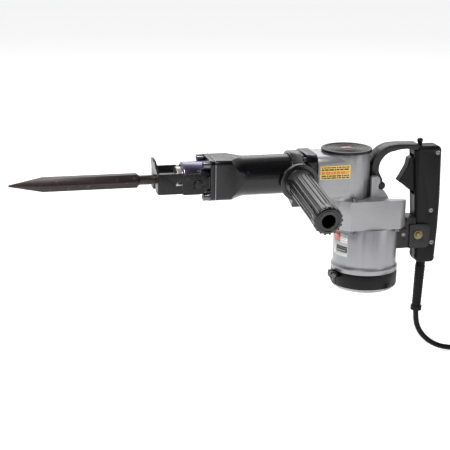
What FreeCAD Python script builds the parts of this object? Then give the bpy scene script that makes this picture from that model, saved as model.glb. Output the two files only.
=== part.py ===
import FreeCAD, Part
import math
import os
import re

import Sketcher
from FreeCAD import Rotation, Vector

# Electric demolition hammer with a crank-driven air hammer, in millimetres.
# Frame: X runs along the chisel from its tip (-X) to the rear grip (+X), Z is up, and the
# crankshaft turns about Z through x = 0, y = 0. The chisel's axis is y = 0, z = 0.
# Everything is modelled about that crossing point and then moved so that the origin lies at
# the middle of the rear grip, where the tool is held.

SIZES = {
    # chisel
    "bit_tip_x": -540, "bit_point_x": -488, "bit_hex_end_x": -342, "bit_flats": 21,
    "bit_neck_r": 7.5, "bit_shoulder_x": -309, "shank_flats": 17, "shank_end_x": -229,
    # stirrup that holds the chisel in
    "stirrup_front_x": -314, "stirrup_plate": 4, "stirrup_half_w": 32, "stirrup_top_z": 15,
    "stirrup_bottom_z": -17.5, "tab_top_z": 35, "tab_half_w": 12, "tab_lean": 4.5,
    "pivot_x": -250, "pivot_z": -3, "pivot_r": 4, "arm_end_r": 16.5, "notch_half_w": 8.7,
    # nose
    "nose_r": 26, "nose_front_x": -272.5, "nose_back_x": -224, "bushing_r": 19,
    "bushing_front_x": -281, "bushing_back_x": -236, "hex_clearance": 0.1,
    # front cover and its bolts
    "cover_front_x": -231, "block_front_x": -223, "block_back_x": -198.5, "block_half": 32,
    "block_corner_r": 7, "cover_bolt_y": 24.5, "cover_bolt_z": 25.5, "cover_bolt_r": 4,
    "cover_bolt_head_r": 6.2, "cover_bolt_head_x": -242,
    # barrel
    "barrel_r": 31.7, "taper_end_x": -170, "bore_r": 24.5, "rear_flange_x": -75,
    "rear_flange_half": 35, "rear_flange_corner_r": 14, "housing_front_x": -58,
    "rear_bolt_y": 26, "rear_bolt_z": 26,
    # side handle, turned down about the barrel
    "side_x": -89.5, "side_width": 18, "clamp_r": 37, "pad_y": -38, "pad_top_z": 28,
    "pad_bottom_z": -43, "side_turn": 8, "grip_flange_r": 31, "grip_root_y": -43,
    "grip_r": 20, "grip_end_y": -195, "grip_hole_r": 10.5, "grip_lip": 2,
    # crank housing and cap
    "crank_r": 38.5, "crank_half_y": 38, "crank_top_z": 32, "cap_seat_z": 34, "cap_top_z": 38.4,
    "cap_r": 41.1, "crank_cavity_r": 34.5, "split_z": -41,
    # gear housing and motor
    "motor_x": 37.5, "gear_housing_r": 64, "gear_half_y": 48, "motor_top_z": -89,
    "motor_r": 52.2, "motor_foot_r": 54.7, "flare_top_z": -150, "band_top_z": -164,
    "band_bottom_z": -188.5, "motor_bottom_z": -195, "motor_wall": 4,
    "band_r": 51.2, "band_screw_x": -23, "band_screw_z": -169, "cover_screw_r": 45,
    # crank drive
    "throw": 9, "crank_pin_r": 5, "rod_length": 55, "wrist_pin_r": 4, "piston_r": 20,
    "gear_module": 1, "pinion_teeth": 12, "gear_teeth": 63, "gear_bottom_z": -38,
    "gear_top_z": -26,
    # rear handle
    "grip_half_y": 16, "grip_top_z": 38, "grip_bottom_z": -160, "arch_half_y": 14,
    "trigger_half_y": 9, "trigger_pivot_x": 121, "trigger_pivot_z": 14,
    "bracket_top_z": -100, "bracket_bottom_z": -132, "cheek_half_y": 19.5,
    "damper_x": 123, "damper_z": -109.5, "lug_x": 54, "lug_z": -22, "button_x": 125.5,
    # cord
    "cord_r": 4.5, "guard_top_x": 138.5, "guard_end_x": 134.3, "guard_end_z": -239,
    "floor_z": -322, "coil_x": 272, "coil_y": -84, "coil_outer_r": 74, "coil_inner_r": 36,
    "coil_high": 38, "plug_x": 351.2, "plug_tip_y": -92,
    # the point that becomes the origin
    "hold_x": 138, "hold_z": -61,
}

doc = FreeCAD.newDocument("DemolitionHammer")
sheet = doc.addObject("Spreadsheet::Sheet", "Sizes")
for row, (alias, size) in enumerate(SIZES.items(), start=1):
    sheet.set(f"A{row}", alias)
    sheet.set(f"B{row}", str(size))
    sheet.setAlias(f"B{row}", alias)
doc.recompute()

AXES = {
    "x": Rotation(Vector(0, 1, 0), 90),
    "y": Rotation(Vector(1, 0, 0), -90),
    "z": Rotation(),
}
nodes = {}


def formula(text):
    """A sheet expression from a formula that names cells by their aliases."""
    return re.sub(r"[a-z_]+", lambda word: "Sizes." + word[0] if word[0] in SIZES else word[0], str(text))


def number(text):
    """The value of such a formula, as the sheet works it out."""
    return float(sheet.evalExpression(formula(text)))


def bind(thing, **formulas):
    """Ties properties of an object to the sheet."""
    for name, text in formulas.items():
        thing.setExpression(name.replace("_dot_", "."), formula(text))
    return thing


def put(thing, x=0, y=0, z=0, turn=None):
    """Places an object at formulas of the sheet, turned by a fixed rotation."""
    if turn is not None:
        thing.Placement.Rotation = turn
    for axis, text in zip("xyz", (x, y, z)):
        thing.setExpression("Placement.Base." + axis, formula(text))
    return thing


def drum(name, radius, start, end, along="z", x=0, y=0, z=0):
    """A cylinder from start to end along one axis, centred on the other two coordinates."""
    thing = doc.addObject("Part::Cylinder", name)
    bind(thing, Radius=radius, Height=f"({end}) - ({start})")
    places = {"x": x, "y": y, "z": z}
    places[along] = start
    return put(thing, **places, turn=AXES[along])


def cone(name, start_radius, end_radius, start, end, along="z", x=0, y=0, z=0):
    """A truncated cone from start to end along one axis."""
    thing = doc.addObject("Part::Cone", name)
    bind(thing, Radius1=start_radius, Radius2=end_radius, Height=f"({end}) - ({start})")
    places = {"x": x, "y": y, "z": z}
    places[along] = start
    return put(thing, **places, turn=AXES[along])


def hexagon(name, flats, start, end, along="x", x=0, y=0, z=0):
    """A hexagonal bar with a flat on top when it lies along X."""
    thing = doc.addObject("Part::Prism", name)
    thing.Polygon = 6
    bind(thing, Circumradius=f"({flats}) / 2 / cos(30 deg)", Height=f"({end}) - ({start})")
    places = {"x": x, "y": y, "z": z}
    places[along] = start
    return put(thing, **places, turn=AXES[along] * Rotation(Vector(0, 0, 1), 30))


def block(name, x, y, z):
    """A box between pairs of formulas."""
    thing = doc.addObject("Part::Box", name)
    bind(
        thing,
        Length=f"({x[1]}) - ({x[0]})",
        Width=f"({y[1]}) - ({y[0]})",
        Height=f"({z[1]}) - ({z[0]})",
    )
    return put(thing, x[0], y[0], z[0])


def join(name, *shapes):
    """One solid, or one group of solids, from several objects."""
    thing = doc.addObject("Part::MultiFuse", name)
    thing.Shapes = list(shapes)
    return thing


def cut(name, base, *tools):
    """A base with tools taken out of it."""
    thing = doc.addObject("Part::Cut", name)
    thing.Base = base
    thing.Tool = tools[0] if len(tools) == 1 else join(name + "_tools", *tools)
    return thing


def overlap(name, *shapes):
    """The space that several objects share."""
    thing = doc.addObject("Part::MultiCommon", name)
    thing.Shapes = list(shapes)
    return thing


def rounded(name, base, radius, chosen):
    """A fillet on the edges for which chosen(edge) is true."""
    doc.recompute()
    thing = doc.addObject("Part::Fillet", name)
    thing.Base = base
    picked = [i for i, edge in enumerate(base.Shape.Edges, start=1) if chosen(edge)]
    thing.Edges = [(i, radius, radius) for i in picked]
    return thing


def runs_along(axis):
    """A test for straight edges that run along one axis."""
    direction = {"x": Vector(1, 0, 0), "y": Vector(0, 1, 0), "z": Vector(0, 0, 1)}[axis]

    def test(edge):
        straight = edge.Curve.TypeId == "Part::GeomLine"
        return straight and abs(abs(edge.Curve.Direction.dot(direction)) - 1) < 1e-6

    return test


def outline(body, plane, points):
    """A closed sketch through points given as formulas. A point of four formulas is the end of
    an arc, and its first two say where the arc passes."""
    sketch = body.newObject("Sketcher::SketchObject", body.Name + "_outline")
    origin_plane = next(part for part in body.Origin.OriginFeatures if part.Role == plane)
    sketch.AttachmentSupport = [(origin_plane, "")]
    sketch.MapMode = "FlatFace"
    ends = [Vector(number(point[-2]), number(point[-1]), 0) for point in points]
    for here, point in enumerate(points):
        start = ends[here - 1]
        if len(point) == 4:
            through = Vector(number(point[0]), number(point[1]), 0)
            left_turn = (through - start).cross(ends[here] - through).z > 0
            first, last = (start, ends[here]) if left_turn else (ends[here], start)
            sketch.addGeometry(Part.Arc(first, through, last), False)
        else:
            sketch.addGeometry(Part.LineSegment(start, ends[here]), False)
    for here, point in enumerate(points):
        # a sketched arc always runs anticlockwise, so its ends may be either way round
        after = (here + 1) % len(points)
        last = end_at(sketch.Geometry[here], ends[here])
        first = end_at(sketch.Geometry[after], ends[here])
        sketch.addConstraint(Sketcher.Constraint("Coincident", here, last, after, first))
        for kind, text, place in (("DistanceX", point[-2], ends[here].x),
                                  ("DistanceY", point[-1], ends[here].y)):
            at = sketch.addConstraint(Sketcher.Constraint(kind, -1, 1, here, last, place))
            sketch.setExpression(f"Constraints[{at}]", formula(text))
        if len(point) == 4:
            sketch.addConstraint(Sketcher.Constraint("Radius", here, sketch.Geometry[here].Radius))
    return sketch


def end_at(geometry, place):
    """Which end of a sketched line or arc lies at a place."""
    return 1 if (geometry.StartPoint - place).Length < (geometry.EndPoint - place).Length else 2


def padded(name, plane, points, thickness):
    """A plate of one outline, the same amount either side of its plane."""
    body = doc.addObject("PartDesign::Body", name)
    sketch = outline(body, plane, points)
    pad = body.newObject("PartDesign::Pad", name + "_pad")
    pad.Profile = sketch
    pad.SideType = "Symmetric"
    pad.setExpression("Length", formula(thickness))
    sketch.Visibility = False
    return body


def turned(name, points, along, x=0, y=0, z=0):
    """A solid turned about X or Z: its outline gives places along the axis and radii."""
    body = doc.addObject("PartDesign::Body", name)
    if along == "x":
        pairs = points
    else:
        pairs = [sum(([point[i + 1], point[i]] for i in range(0, len(point), 2)), []) for point in points]
    sketch = outline(body, "XZ_Plane", pairs)
    spin = body.newObject("PartDesign::Revolution", name + "_spin")
    spin.Profile = sketch
    spin.ReferenceAxis = (sketch, ["H_Axis" if along == "x" else "V_Axis"])
    spin.Angle = 360
    return put(body, x, y, z)


def four_ways(build, y, z):
    """The same piece at the four corners of a rectangle in Y and Z."""
    signs = [(1, 1), (-1, 1), (-1, -1), (1, -1)]
    return [build(i, f"{sy} * ({y})", f"{sz} * ({z})") for i, (sy, sz) in enumerate(signs)]


def keep(label, thing):
    """Files an object as a finished sub-part and moves it from the design point to the origin."""
    thing.Label = label
    placed = {path.lstrip("."): text for path, text in thing.ExpressionEngine}
    for axis, shift in (("x", "hold_x"), ("z", "hold_z")):
        path = "Placement.Base." + axis
        thing.setExpression(path, f"{placed.get(path, '0')} - {formula(shift)}")
    nodes[label] = thing
    return thing


# ---------------------------------------------------------------- chisel


def make_chisel():
    """Forged bull point: hexagonal bar drawn out to a point, with a turned neck and a hex shank."""
    ends = []
    for name, flats, place in (("bit_wide", "bit_flats", "bit_point_x"), ("bit_tip", "2.4", "bit_tip_x")):
        ring = doc.addObject("Part::RegularPolygon", name)
        ring.Polygon = 6
        bind(ring, Circumradius=f"({flats}) / 2 / cos(30 deg)")
        ends.append(put(ring, place, turn=AXES["x"] * Rotation(Vector(0, 0, 1), 30)))
    point = doc.addObject("Part::Loft", "bit_point")
    point.Sections = ends
    point.Solid = True
    point.Ruled = True
    bar = hexagon("bit_bar", "bit_flats", "bit_point_x", "bit_hex_end_x")
    relief = cone("bit_relief", "bit_flats / 2", "bit_neck_r", "bit_hex_end_x", "bit_hex_end_x + 4", "x")
    neck = drum("bit_neck", "bit_neck_r", "bit_hex_end_x + 4", "bit_shoulder_x", "x")
    shank = hexagon("bit_shank", "shank_flats", "bit_shoulder_x", "shank_end_x")
    keep("bull_point", join("bit", point, bar, relief, neck, shank))


def make_stirrup():
    """Bent steel stirrup: two arms on pivot bolts and a notched plate that drops over the neck."""
    height = ("stirrup_bottom_z", "stirrup_top_z")
    width = ("-stirrup_half_w", "stirrup_half_w")
    back = "pivot_x - 24"
    outer = rounded("stirrup_bend", block("stirrup_outer", ("stirrup_front_x", back), width, height), 5,
                    lambda e: runs_along("z")(e) and e.CenterOfMass.x < number("stirrup_front_x + 1"))
    arms = block("stirrup_arms", (back, "pivot_x"), width, ("pivot_z - arm_end_r", "pivot_z + arm_end_r"))
    ends = drum("stirrup_ends", "arm_end_r", "-stirrup_half_w", "stirrup_half_w", "y", x="pivot_x",
                z="pivot_z")
    lean = padded("tab_side", "XZ_Plane", [
        ("stirrup_front_x", "stirrup_top_z - 2"),
        ("stirrup_front_x + stirrup_plate", "stirrup_top_z - 2"),
        ("stirrup_front_x + stirrup_plate - tab_lean", "tab_top_z"),
        ("stirrup_front_x - tab_lean", "tab_top_z"),
    ], "2 * stirrup_half_w")
    face = padded("tab_face", "YZ_Plane", [
        ("-stirrup_half_w + 5", "stirrup_top_z - 4"),
        ("stirrup_half_w - 5", "stirrup_top_z - 4"),
        ("tab_half_w + 2", "tab_top_z - 4"),
        ("0", "tab_top_z", "-tab_half_w - 2", "tab_top_z - 4"),
    ], "800")
    tab = overlap("stirrup_tab", lean, face)
    inner_y = "stirrup_half_w - stirrup_plate"
    hollow = block("stirrup_hollow", ("stirrup_front_x + stirrup_plate", "pivot_x + 30"),
                   (f"-({inner_y})", inner_y), ("-60", "stirrup_top_z + 0.5"))
    notch = block("stirrup_notch", ("stirrup_front_x - 10", "stirrup_front_x + 10"),
                  ("-notch_half_w", "notch_half_w"), ("-40", "0"))
    notch_top = drum("stirrup_notch_top", "notch_half_w", "stirrup_front_x - 10", "stirrup_front_x + 10",
                     "x")
    pins = drum("stirrup_holes", "pivot_r + 0.05", "-60", "60", "y", x="pivot_x", z="pivot_z")
    slot = block("stirrup_slots", ("-286", "-275"), ("-60", "60"), ("-5", "2"))
    solid = join("stirrup_solid", outer, arms, ends, tab)
    keep("tool_retainer", cut("stirrup", solid, hollow, notch, notch_top, pins, slot))


# ---------------------------------------------------------------- nose and barrel


def cover_bolt(i, y, z):
    """Socket-head bolt of the front cover, with its hexagon recess."""
    shank = drum(f"cover_bolt_shank_{i}", "cover_bolt_r", "cover_front_x", "block_back_x - 8", "x", y=y,
                 z=z)
    head = drum(f"cover_bolt_head_{i}", "cover_bolt_head_r", "cover_bolt_head_x", "cover_front_x - 1.6",
                "x", y=y, z=z)
    washer = drum(f"cover_washer_{i}", "cover_bolt_head_r + 0.8", "cover_front_x - 1.6", "cover_front_x",
                  "x", y=y, z=z)
    key = hexagon(f"cover_bolt_key_{i}", "6", "cover_bolt_head_x - 1", "cover_bolt_head_x + 4", y=y, z=z)
    return cut(f"cover_bolt_{i}", join(f"cover_bolt_body_{i}", shank, head, washer), key)


def make_nose():
    """Steel nose sleeve with the hexagonal guide bushing that the shank runs in."""
    sleeve = turned("nose", [
        ("nose_front_x", "bushing_r"),
        ("nose_front_x", "nose_r - 3"),
        ("nose_front_x + 0.9", "nose_r - 0.9", "nose_front_x + 3", "nose_r"),
        ("nose_back_x", "nose_r"),
        ("nose_back_x", "bushing_r - 4"),
        ("bushing_back_x", "bushing_r - 4"),
        ("bushing_back_x", "bushing_r"),
    ], "x")
    keep("nose_sleeve", sleeve)
    bush = drum("bushing_bar", "bushing_r", "bushing_front_x", "bushing_back_x", "x")
    ring = rounded("bushing_round", bush, 1.5,
                   lambda e: e.CenterOfMass.x < number("bushing_front_x + 1") and e.Closed)
    socket = hexagon("bushing_socket", "shank_flats + hex_clearance", "bushing_front_x - 1",
                     "bushing_back_x + 1")
    keep("tool_bushing", cut("bushing", ring, socket))


def make_front_cover():
    """Square cast cover bolted to the barrel, with two ears for the stirrup's pivots."""
    square = ("-block_half", "block_half")
    plate = rounded("cover_square", block("cover_block", ("cover_front_x", "block_front_x"), square,
                                          square),
                    SIZES["block_corner_r"], runs_along("x"))
    ear_y = "stirrup_half_w - stirrup_plate - 0.3"
    ears = []
    for side in (1, -1):
        span = ("20", ear_y) if side > 0 else (f"-({ear_y})", "-20")
        ears.append(block(f"cover_ear_{side + 1}", ("pivot_x", "cover_front_x + 1"), span,
                          ("pivot_z - 9", "pivot_z + 9")))
        ears.append(drum(f"cover_ear_end_{side + 1}", "9", span[0], span[1], "y", x="pivot_x", z="pivot_z"))
    hole = drum("cover_hole", "nose_r", "pivot_x - 20", "block_front_x + 1", "x")
    pins = drum("cover_pin_holes", "pivot_r", "-60", "60", "y", x="pivot_x", z="pivot_z")
    bolts = four_ways(lambda i, y, z: drum(f"cover_bolt_hole_{i}", "cover_bolt_r", "-260", "-200", "x",
                                           y=y, z=z),
                      "cover_bolt_y", "cover_bolt_z")
    keep("front_cover", cut("cover", join("cover_solid", plate, *ears), hole, pins, *bolts))
    keep("front_cover_bolts", join("cover_bolts", *four_ways(cover_bolt, "cover_bolt_y", "cover_bolt_z")))
    pivots = []
    for side in (1, -1):
        y0, y1, y2 = (f"{side} * 26.2", f"{side} * (stirrup_half_w + 0.4)",
                      f"{side} * (stirrup_half_w + 3)")
        low, high = (y0, y1) if side > 0 else (y1, y0)
        low_head, high_head = (y1, y2) if side > 0 else (y2, y1)
        pin = drum(f"pivot_pin_{side + 1}", "pivot_r", low, high, "y", x="pivot_x", z="pivot_z")
        head = drum(f"pivot_head_{side + 1}", "pivot_r + 2.6", low_head, high_head, "y", x="pivot_x",
                    z="pivot_z")
        pivots.append(join(f"pivot_{side + 1}", pin, head))
    keep("retainer_pivots", join("pivots", *pivots))
    cushion = cut("cushion_ring", drum("cushion_disc", "bore_r", "block_front_x", "block_front_x + 9", "x"),
                  drum("cushion_hole", "12.1", "block_front_x - 1", "block_front_x + 10", "x"))
    keep("damper_ring", cushion)


def make_barrel():
    """Cast barrel: square at the front, round in the middle, with a square rear flange."""
    square = ("-block_half", "block_half")
    long_block = rounded("barrel_block", block("barrel_square", ("block_front_x", "taper_end_x"), square,
                                               square),
                         SIZES["block_corner_r"], runs_along("x"))
    taper = turned("barrel_taper", [
        ("block_front_x", "0"), ("block_front_x", "46"), ("block_back_x", "44"),
        ("block_back_x + 12", "35.5", "taper_end_x", "barrel_r"), ("taper_end_x", "0"),
    ], "x")
    front = overlap("barrel_front", long_block, taper)
    tube = drum("barrel_tube", "barrel_r", "taper_end_x", "housing_front_x", "x")
    half = ("-rear_flange_half", "rear_flange_half")
    flange = rounded("barrel_flange", block("barrel_flange_block", ("rear_flange_x", "housing_front_x"),
                                            half, half),
                     SIZES["rear_flange_corner_r"], runs_along("x"))
    bore = drum("barrel_bore", "bore_r", "block_front_x - 1", "housing_front_x + 1", "x")
    front_holes = four_ways(lambda i, y, z: drum(f"barrel_front_hole_{i}", "cover_bolt_r",
                                                 "block_front_x - 1",
                                                 "block_back_x - 8", "x", y=y, z=z), "cover_bolt_y",
                            "cover_bolt_z")
    rear_holes = four_ways(lambda i, y, z: drum(f"barrel_rear_hole_{i}", "3", "rear_flange_x - 1",
                                                "housing_front_x + 1", "x", y=y, z=z), "rear_bolt_y",
                           "rear_bolt_z")
    keep("barrel", cut("barrel_cast", join("barrel_solid", front, tube, flange), bore, *front_holes,
                       *rear_holes))

    def rear_bolt(i, y, z):
        head = drum(f"rear_bolt_head_{i}", "5", "rear_flange_x - 5", "rear_flange_x", "x", y=y, z=z)
        shank = drum(f"rear_bolt_shank_{i}", "3", "rear_flange_x", "housing_front_x + 8", "x", y=y, z=z)
        key = hexagon(f"rear_bolt_key_{i}", "5", "rear_flange_x - 7", "rear_flange_x - 3", y=y, z=z)
        return cut(f"rear_bolt_{i}", join(f"rear_bolt_body_{i}", head, shank), key)

    keep("barrel_bolts", join("rear_bolts", *four_ways(rear_bolt, "rear_bolt_y", "rear_bolt_z")))
    liner = cut("liner", drum("liner_outer", "bore_r", "-170", "housing_front_x", "x"),
                drum("liner_inner", "piston_r + 0.05", "-171", "housing_front_x + 1", "x"))
    keep("cylinder_liner", liner)


# ---------------------------------------------------------------- air hammer


def make_hammer_train():
    """Piston, striker and impact bolt, which pass the blow to the chisel."""
    bolt = turned("bolt_turning", [
        ("-228.5", "0"), ("-228.5", "10"), ("-212", "10"), ("-210", "12"), ("-196", "12"),
        ("-196", "18"), ("-182", "18"), ("-182", "11"), ("-172", "11"), ("-172", "0"),
    ], "x")
    keep("impact_bolt", bolt)
    guide = cut("guide", drum("guide_outer", "bore_r", "-213", "-197", "x"),
                drum("guide_inner", "12.06", "-214", "-196", "x"))
    keep("impact_bolt_guide", guide)
    ram = rounded("ram_round", drum("ram", "piston_r", "-160", "-130", "x"), 1.5, lambda e: e.Closed)
    keep("striker", ram)
    outer = drum("piston_outer", "piston_r", "-105", "-50", "x")
    hollow = drum("piston_hollow", "piston_r - 2.5", "-97", "-49", "x")
    keep("piston", cut("piston_cup", outer, hollow))


def make_crank():
    """Overhung crankshaft with its web, gear, connecting rod and wrist pin."""
    shaft = drum("crank_stub", "8.5", "-80", "-22", "z")
    web = drum("crank_web", "19", "-22", "-12", "z")
    pin = drum("crank_pin", "crank_pin_r", "-12", "9", "z", x="-throw")
    keep("crankshaft", join("crank", shaft, web, pin))
    gear = make_gear("crank_gear_blank", SIZES["gear_teeth"], 0)
    keep("crank_gear", cut("crank_gear_bored", put(gear, 0, 0, "gear_bottom_z"),
                           drum("crank_gear_bore", "8.5", "-60", "-10", "z")))
    big = drum("rod_big_end", "crank_pin_r + 4", "-5", "5", "z", x="-throw")
    small = drum("rod_small_end", "wrist_pin_r + 2.5", "-5", "5", "z", x="-throw - rod_length")
    bar = block("rod_bar", ("-throw - rod_length + 3", "-throw - 5"), ("-4", "4"), ("-4", "4"))
    holes = [drum("rod_big_bore", "crank_pin_r + 0.05", "-9", "9.5", "z", x="-throw"),
             drum("rod_small_bore", "wrist_pin_r", "-9", "9", "z", x="-throw - rod_length")]
    keep("connecting_rod", cut("rod", join("rod_solid", big, small, bar), *holes))
    keep("wrist_pin", drum("wrist", "wrist_pin_r", "-10.5", "10.5", "z", x="-throw - rod_length"))


def make_gear(name, teeth, turn):
    """A spur gear with straight-sided teeth, its first tooth towards +X, turned by an angle."""
    module = SIZES["gear_module"]
    pitch_r = module * teeth / 2
    root_r, tip_r = pitch_r - 1.25 * module, pitch_r + 0.85 * module
    root_half, tip_half = 0.88 * module, 0.34 * module
    length = SIZES["gear_top_z"] - SIZES["gear_bottom_z"]
    flank = []
    for tooth in range(teeth):
        angle = turn + 2 * math.pi * tooth / teeth
        along = Vector(math.cos(angle), math.sin(angle), 0)
        across = Vector(-math.sin(angle), math.cos(angle), 0)
        flank += [along * root_r - across * root_half, along * tip_r - across * tip_half,
                  along * tip_r + across * tip_half, along * root_r + across * root_half]
    ring = Part.makePolygon(flank + [flank[0]])
    thing = doc.addObject("Part::Feature", name)
    thing.Shape = Part.Face(ring).extrude(Vector(0, 0, length))
    return thing


# ---------------------------------------------------------------- crank and gear housings


def make_crank_housing():
    """Cast housing: a horizontal neck behind the barrel that meets an upright drum, with a screwed
    cover on top and a small bulge round the motor's pinion."""
    neck = rounded("crank_neck", block("crank_neck_block", ("housing_front_x", "0"),
                                       ("-crank_half_y", "crank_half_y"),
                                       ("split_z", "crank_top_z")), 15, runs_along("x"))
    upright = drum("crank_drum", "crank_r", "split_z", "cap_seat_z", "z")
    bulge = block("pinion_bulge", ("30", "46.8"), ("-13.5", "13.5"), ("split_z", "-18"))
    cavity = drum("crank_cavity", "crank_cavity_r", "split_z - 1", "28", "z")
    mouth = drum("crank_mouth", "34", "27", "cap_seat_z + 1", "z")
    tunnel = drum("crank_tunnel", "27", "housing_front_x - 1", "0", "x")
    mesh_gap = drum("pinion_gap", "7.4", "split_z - 1", "-22", "z", x="motor_x")
    pocket = rounded("pocket_round", block("pocket_block", ("19", "33"), ("-60", "-15"),
                                           ("split_z - 1", "-9")), 4,
                     lambda e: runs_along("y")(e) and e.CenterOfMass.z > -20)
    recess = cut("recess", pocket, drum("pocket_floor", "crank_r - 2.5", "-60", "0", "z"))
    bolts = four_ways(lambda i, y, z: drum(f"housing_bolt_hole_{i}", "3", "housing_front_x - 1",
                                           "housing_front_x + 8", "x", y=y, z=z), "rear_bolt_y",
                      "rear_bolt_z")
    solid = join("crank_solid", neck, upright, bulge)
    keep("crank_housing", cut("crank_cast", solid, cavity, mouth, tunnel, mesh_gap, recess, *bolts))
    cap = turned("cap", [
        ("28", "0"), ("28", "31"), ("cap_seat_z", "31"), ("cap_seat_z", "cap_r"),
                         ("cap_top_z - 1", "cap_r"),
        ("cap_top_z - 0.3", "cap_r - 0.3", "cap_top_z", "cap_r - 1"), ("cap_top_z", "cap_r - 5"),
        ("cap_top_z - 0.8", "cap_r - 6"), ("cap_top_z - 0.8", "0"),
    ], "z")
    keep("crank_cap", cap)
    keep("cap_seal", cut("seal", drum("seal_outer", "34", "28", "31", "z"),
                         drum("seal_inner", "31", "27", "32", "z")))
    races = []
    for i, (low, high) in enumerate((("-58", "-46"), ("-80", "-70"))):
        races.append(cut(f"crank_race_{i}", drum(f"crank_race_outer_{i}", "17.5", low, high, "z"),
                         drum(f"crank_race_inner_{i}", "8.55", "-90", "-40", "z")))
    keep("crank_bearings", join("crank_races", *races))


def make_gear_housing():
    """Cast housing under the crank: round about the motor's axis with two flat sides, a roof that
    falls away behind the hand, and two ears that take the rear handle's arch."""
    wide = drum("gear_round", "gear_housing_r", "motor_top_z", "split_z", "z", x="motor_x")
    flats = block("gear_flats", ("-60", "140"), ("-gear_half_y", "gear_half_y"), ("motor_top_z", "split_z"))
    roof = block("gear_roof", ("motor_x + 23", "motor_x + 110"), ("0", "150"), ("0", "40"))
    put(roof, "motor_x + 23", "-gear_half_y - 2", "split_z - 0.3", turn=Rotation(Vector(1, 0, 0), -12.5))
    sloped = cut("gear_sloped", overlap("gear_body", wide, flats), roof)
    sides = padded("ear_side", "XZ_Plane", [
        ("36", "split_z - 2"), ("36", "-11"), ("37.5", "-7.5", "41", "-6"), ("45", "-6"),
        ("48.5", "-7.5", "50", "-11"), ("50.5", "-21"), ("55", "-27"), ("61", "-34", "66", "split_z - 2"),
    ], "52")
    between = block("ear_gap", ("30", "70"), ("-14.3", "14.3"), ("split_z", "0"))
    ears = cut("ears", sides, between)
    core = drum("ear_drum_way", "crank_r", "split_z", "0", "z")
    bore = [
        drum("gear_cavity", "19", "motor_top_z - 1", "-65", "z", x="motor_x"),
        drum("crank_race_seat", "17.5", "-81", "split_z + 1", "z"),
        drum("motor_race_seat", "13", "-66", "-50", "z", x="motor_x"),
        drum("motor_shaft_way", "9", "-60", "split_z + 1", "z", x="motor_x"),
        drum("arch_bolt_seat", "6.5", "-40", "40", "y", x="lug_x", z="lug_z"),
    ]
    screws = []
    for i, (side, end) in enumerate(((1, 1), (1, -1), (-1, -1), (-1, 1))):
        x, y = f"motor_x + 38 * ({end})", f"43 * ({side})"
        head = hexagon(f"gear_screw_head_{i}", "8", "motor_top_z - 5", "motor_top_z", "z", x, y)
        shank = drum(f"gear_screw_shank_{i}", "2.5", "motor_top_z", "motor_top_z + 12", "z", x, y)
        bore.append(drum(f"gear_screw_way_{i}", "2.5", "motor_top_z - 1", "motor_top_z + 12", "z", x, y))
        screws.append(join(f"gear_screw_{i}", head, shank))
    top = hexagon("top_screw_head", "7", "split_z", "split_z + 5", "z", "2", "-gear_half_y + 4.4")
    shank = drum("top_screw_shank", "2.5", "split_z - 12", "split_z", "z", "2", "-gear_half_y + 4.4")
    bore.append(drum("top_screw_way", "2.5", "split_z - 12", "split_z + 1", "z", "2", "-gear_half_y + 4.4"))
    screws.append(join("top_screw", top, shank))
    keep("gear_housing", cut("gear_cast", join("gear_solid", sloped, ears), core, *bore))
    keep("gear_housing_screws", join("gear_screws", *screws))


# ---------------------------------------------------------------- motor


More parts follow.
